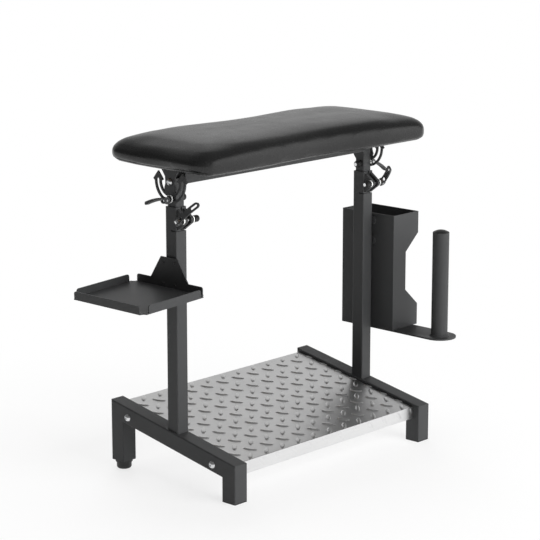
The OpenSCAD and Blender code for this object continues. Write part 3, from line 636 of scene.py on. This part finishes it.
def makeHem():
    low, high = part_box("pad_board")
    centre = (low + high) / 2
    bm = weldedCopy("pad_board")

    def onRim(vert):
        aside = abs(vert.co.y - centre.y) > hem["clearSide"]
        atEnd = abs(vert.co.x - centre.x) > (high.x - low.x) / 2 - hem["clearEnd"]
        return (aside or atEnd) and vert.co.z < low.z + 0.1 * mm

    inside = [
        edge for edge in bm.edges
        if not (all(onRim(vert) for vert in edge.verts) and edge.is_manifold
                and edge.calc_face_angle() > 1.0)
    ]
    bmesh.ops.delete(bm, geom=inside, context="EDGES")
    loose = [vert for vert in bm.verts if not vert.link_edges]
    bmesh.ops.delete(bm, geom=loose, context="VERTS")
    outline = bm.verts[:]
    filled = bmesh.ops.edgeloop_fill(bm, edges=bm.edges[:])["faces"]
    bmesh.ops.inset_individual(bm, faces=filled, thickness=hem["width"], use_even_offset=True)
    bmesh.ops.delete(bm, geom=filled, context="FACES_ONLY")
    outward = {}
    for vert in outline:
        others = [edge.other_vert(vert) for edge in vert.link_edges]
        inner = next(other for other in others if other not in outline)
        outward[vert] = (vert.co - inner.co).normalized()
    rimEdges = [e for e in bm.edges if e.verts[0] in outward and e.verts[1] in outward]
    lifted = bmesh.ops.extrude_edge_only(bm, edges=rimEdges)["geom"]
    for vert in [g for g in lifted if isinstance(g, bmesh.types.BMVert)]:
        source = min(outward, key=lambda other: (other.co - vert.co).length)
        vert.co += outward[source] * hem["reach"]
        vert.co.z += hem["rise"]
    bmesh.ops.translate(bm, verts=bm.verts, vec=(0, 0, -hem["below"]))
    bmesh.ops.recalc_face_normals(bm, faces=bm.faces)
    if sum(face.normal.z for face in bm.faces) > 0:
        bmesh.ops.reverse_faces(bm, faces=bm.faces)
    bmesh.ops.solidify(bm, geom=bm.faces[:], thickness=-hem["thickness"])
    bmesh.ops.recalc_face_normals(bm, faces=bm.faces)
    bend(bm)
    mesh = meshFrom(bm, "hem")
    smoothShaded(mesh)
    addPiece("hem", mesh, "rest", "black_leather")


makeHem()
print("hem made")


# Checker plate: the CAD sheet without its bars, and rounder bars on the same places
bars = {
    "length": 24.5 * mm,
    "width": 9 * mm,
    "height": 1.6 * mm,
    "taper": 0.22,  # how much narrower a bar is at its ends
    "steepness": 1.35,  # above 1 gives a flat top
    "around": 14,  # points round a bar
    "rings": 8,
    "pitchX": 39.7 * mm,
    "pitchY": 37.4 * mm,  # along the slope
    "rows": 9,  # each way from the middle, before the plate's edges cut them
    "first": (-14.0 * mm, 3.7 * mm),  # bars that point forward right
    "second": (6.5 * mm, -15.0 * mm),  # bars that point back right
    "sink": 0.1 * mm,
    "lip": 22.1 * mm,
    "lipSink": 1.25 * mm,  # the bars stand out less there
    "edge": 0.5 * mm,
    "fold": 0.9 * mm,
}


def plateFrame():
    low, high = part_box("checker_plate")
    bm = bmesh.new()
    bm.from_mesh(nodes["checker_plate"].data)
    front = max(v.co.z for v in bm.verts if v.co.y < low.y + 0.02 * mm)
    back = max(v.co.z for v in bm.verts if v.co.y > high.y - 0.02 * mm)
    bm.free()
    slope = math.atan2(back - front, high.y - low.y)
    return Matrix.Translation((standMiddle.x, low.y, front)) @ Matrix.Rotation(slope, 4, "X"), slope


def makePlate():
    place = plateFrame()[0]
    bm = weldedCopy("checker_plate")
    bmesh.ops.transform(bm, matrix=place.inverted(), verts=bm.verts)
    bmesh.ops.delete(bm, geom=[v for v in bm.verts if v.co.z > 0.5 * mm], context="VERTS")
    bmesh.ops.holes_fill(bm, edges=[e for e in bm.edges if e.is_boundary], sides=0)
    bmesh.ops.dissolve_limit(bm, angle_limit=math.radians(1), verts=bm.verts, edges=bm.edges)
    folds = [
        e for e in bm.edges
        if e.is_manifold and e.calc_face_angle() > 1.0 and min(v.co.z for v in e.verts) > -0.1 * mm
    ]
    bmesh.ops.bevel(
        bm, geom=folds, offset=bars["fold"], offset_type="OFFSET", affect="EDGES",
        segments=4, profile=0.5, material=-1, clamp_overlap=True)
    bmesh.ops.transform(bm, matrix=place, verts=bm.verts)
    mesh = meshFrom(bm, "plate_sheet")
    shadeByAngle(mesh)
    sheet = addPiece("plate_sheet", mesh, "base", "tread_plate")
    shade = sheet.modifiers.new("shade", "WEIGHTED_NORMAL")
    shade.keep_sharp = True
    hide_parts("checker_plate")


def addBar(bm, place, angle):
    verts = bmesh.ops.create_uvsphere(
        bm, u_segments=bars["around"], v_segments=bars["rings"], radius=1.0)["verts"]
    bmesh.ops.delete(bm, geom=[v for v in verts if v.co.z < -0.1], context="VERTS")
    verts = [v for v in verts if v.is_valid]
    size = (bars["length"] / 2, bars["width"] / 2, bars["height"])
    bmesh.ops.scale(bm, verts=verts, vec=size)
    for vert in verts:  # narrower towards both ends, flat on top
        along = min(1.0, abs(vert.co.x) / (bars["length"] / 2))
        vert.co.y *= 1 - bars["taper"] * along * along
        vert.co.z = min(bars["height"], vert.co.z * bars["steepness"])
    bmesh.ops.rotate(bm, verts=verts, cent=(0, 0, 0), matrix=Matrix.Rotation(angle, 3, "Z"))
    bmesh.ops.translate(bm, verts=verts, vec=place)


def makeBars(name, place, halfWidth, lowest, highest, centre, sink):
    bm = bmesh.new()
    reach = bars["length"] / 2
    rows = range(-bars["rows"], bars["rows"] + 1)
    for start, angle in ((bars["first"], -math.pi / 4), (bars["second"], math.pi / 4)):
        for i in rows:
            for j in rows:
                x = start[0] + i * bars["pitchX"]
                y = centre + start[1] + j * bars["pitchY"]
                if abs(x) < halfWidth + reach and lowest - reach < y < highest + reach:
                    addBar(bm, (x, y, -sink), angle)
    for point, normal in (
        ((-halfWidth, 0, 0), (-1, 0, 0)), ((halfWidth, 0, 0), (1, 0, 0)),
        ((0, lowest, 0), (0, -1, 0)), ((0, highest, 0), (0, 1, 0)),
    ):
        cut = bmesh.ops.bisect_plane(
            bm, geom=bm.verts[:] + bm.edges[:] + bm.faces[:],
            plane_co=point, plane_no=normal, clear_outer=True)
        edges = [g for g in cut["geom_cut"] if isinstance(g, bmesh.types.BMEdge)]
        bmesh.ops.edgeloop_fill(bm, edges=edges)
    bmesh.ops.transform(bm, matrix=place, verts=bm.verts)
    mesh = meshFrom(bm, name)
    smoothShaded(mesh)
    addPiece(name, mesh, "base", "tread_plate")


def makeAllBars():
    place, slope = plateFrame()
    low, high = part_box("checker_plate")
    halfWidth = (high.x - low.x) / 2 - bars["edge"]
    depth = (high.y - low.y) / math.cos(slope)
    centre = (standMiddle.y - low.y) / math.cos(slope)
    makeBars(
        "tread_bars", place, halfWidth, bars["fold"], depth - bars["fold"], centre, bars["sink"])
    onLip = Matrix.Translation(place.translation) @ Matrix.Rotation(math.pi / 2, 4, "X")
    makeBars(
        "lip_bars", onLip, halfWidth, bars["edge"] - bars["lip"], -bars["fold"], centre,
        bars["lipSink"])


makePlate()
makeAllBars()
print("checker plate made")


# Floor and light, in metres
studio = {
    "floorSize": 30.0,
    "floorColour": (0.92, 0.92, 0.92, 1),
    "near": 0.3,  # the floor's shadow shows most out to here
    "far": 0.95,  # and the floor is plain white from here
    "lift": 0.75,  # how white the near floor is already
    "dim": 0.07,  # the room's own light
    "sheen": 0.11,  # how much brighter the room is in metal and gloss
    "glows": [  # bright sides of the room: the way there, where each starts and is full
        {"towards": (0.73, 0.683, -0.1), "edges": (0.44, 0.88), "strength": 0.56},
        {"towards": (0.728, -0.684, 0.05), "edges": (0.92, 0.995), "strength": 1.5},
    ],
}


def makeFloor():
    bm = bmesh.new()
    bmesh.ops.create_grid(bm, x_segments=1, y_segments=1, size=studio["floorSize"] / 2)
    mesh = meshFrom(bm, "floor")
    floor = bpy.data.objects.new("floor", mesh)
    bpy.context.scene.collection.objects.link(floor)
    r = recipeFor("floor")
    seen = r.add("ShaderNodeLightPath", out="Is Camera Ray").atLeast(
        r.add("ShaderNodeLightPath", out="Is Glossy Ray")).atLeast(
        r.add("ShaderNodeLightPath", out="Is Transmission Ray"))
    away = r.add(
        "ShaderNodeVectorMath", {"operation": "LENGTH"}, {"Vector": r.place()}, out="Value")
    white = r.add("ShaderNodeMapRange", {"interpolation_type": "SMOOTHSTEP"}, {
        "Value": away, "From Min": studio["near"], "From Max": studio["far"],
        "To Min": studio["lift"], "To Max": 1.0,
    })
    lit = r.add("ShaderNodeBsdfDiffuse", None, {"Color": studio["floorColour"]})
    plain = r.add("ShaderNodeEmission", None, {"Color": (1, 1, 1, 1), "Strength": 1.0})
    mixed = r.add("ShaderNodeMixShader", None, {0: white * seen, 1: lit, 2: plain})
    r.plug(r.output.inputs["Surface"], mixed)
    mesh.materials.append(r.holder)


def makeWorld():
    world = bpy.data.worlds.new("studio")
    bpy.context.scene.world = world
    r = Recipe(world, "ShaderNodeOutputWorld")
    gloss = r.add("ShaderNodeLightPath", out="Is Glossy Ray")
    room = studio["dim"] + gloss * studio["sheen"]
    for glow in studio["glows"]:
        towards = r.add("ShaderNodeVectorMath", {"operation": "DOT_PRODUCT"}, {
            0: r.add("ShaderNodeTexCoord", out="Generated"), 1: glow["towards"],
        }, out="Value")
        room = room + r.add("ShaderNodeMapRange", {"interpolation_type": "SMOOTHSTEP"}, {
            "Value": towards, "From Min": glow["edges"][0], "From Max": glow["edges"][1],
            "To Min": 0.0, "To Max": glow["strength"],
        })
    camera = r.add("ShaderNodeLightPath", out="Is Camera Ray")
    r.plug(r.output.inputs["Surface"], r.add("ShaderNodeBackground", None, {
        "Color": (1, 1, 1, 1), "Strength": room + camera * (1 - room),
    }))


# Places in metres, power in watts. Gloss and metal don't show the lamps.
lamps = {
    "key": {"place": (0.5, -3.5, 1.4), "size": 3.0, "power": 205},
    "top": {"place": (0.2, 0.8, 3.6), "size": 2.6, "power": 48},
    "back": {"place": (2.6, 3.2, 1.6), "size": 2.5, "power": 110},
    "fill": {"place": (-3.4, -0.8, 1.6), "size": 2.0, "power": 5},
}


def makeLamp(name, place, size, power):
    data = bpy.data.lights.new(name, "AREA")
    data.shape = "SQUARE"
    data.size = size
    data.energy = power
    lamp = bpy.data.objects.new(name, data)
    bpy.context.scene.collection.objects.link(lamp)
    lamp.visible_glossy = False
    lamp.location = Vector(place)
    aim = Vector((0, 0, 0.3)) - lamp.location
    lamp.rotation_mode = "QUATERNION"
    lamp.rotation_quaternion = aim.to_track_quat("-Z", "Y")


makeFloor()
makeWorld()
for name, lamp in lamps.items():
    makeLamp(name, **lamp)
bpy.context.scene.view_settings.view_transform = "Standard"
print("studio lit")
